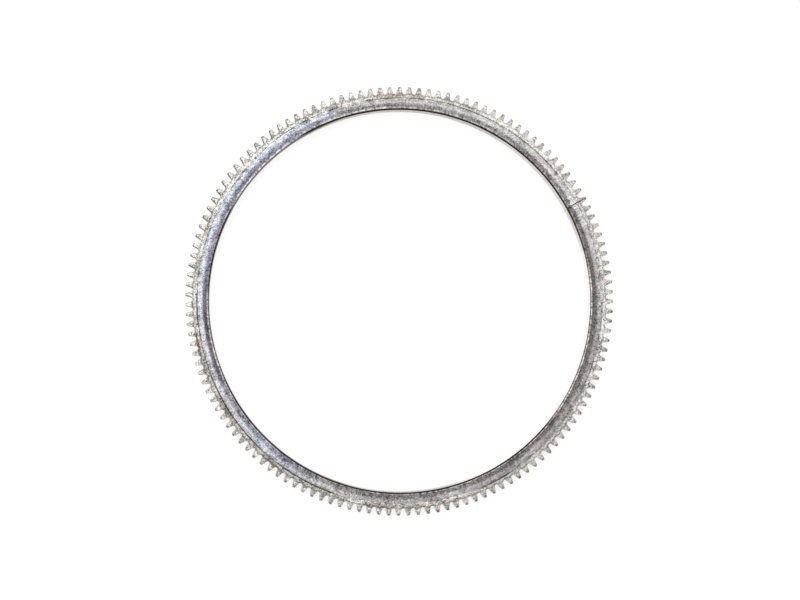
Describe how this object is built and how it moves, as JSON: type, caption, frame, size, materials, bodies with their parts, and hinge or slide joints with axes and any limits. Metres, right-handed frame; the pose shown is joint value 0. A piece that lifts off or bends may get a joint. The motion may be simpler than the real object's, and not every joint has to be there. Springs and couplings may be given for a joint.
{
  "type": "flywheel ring gear",
  "caption": "Thin external spur ring gear with fine starter teeth round the rim, a plain bore to shrink onto a flywheel and a crowned front face.",
  "frame": {"origin": "centre of the plain back face, on the ring's axis", "axes": "+Z along the ring's axis towards the crowned front face, +X through the tooth that the weld seam crosses"},
  "size_m": [0.29, 0.29, 0.011],
  "materials": {
    "steel": "turned and hobbed bare steel, satin, with stains and scuffs of handling"
  },
  "bodies": {
    "root": {"ring_gear": "steel"}
  },
  "joints": []
}
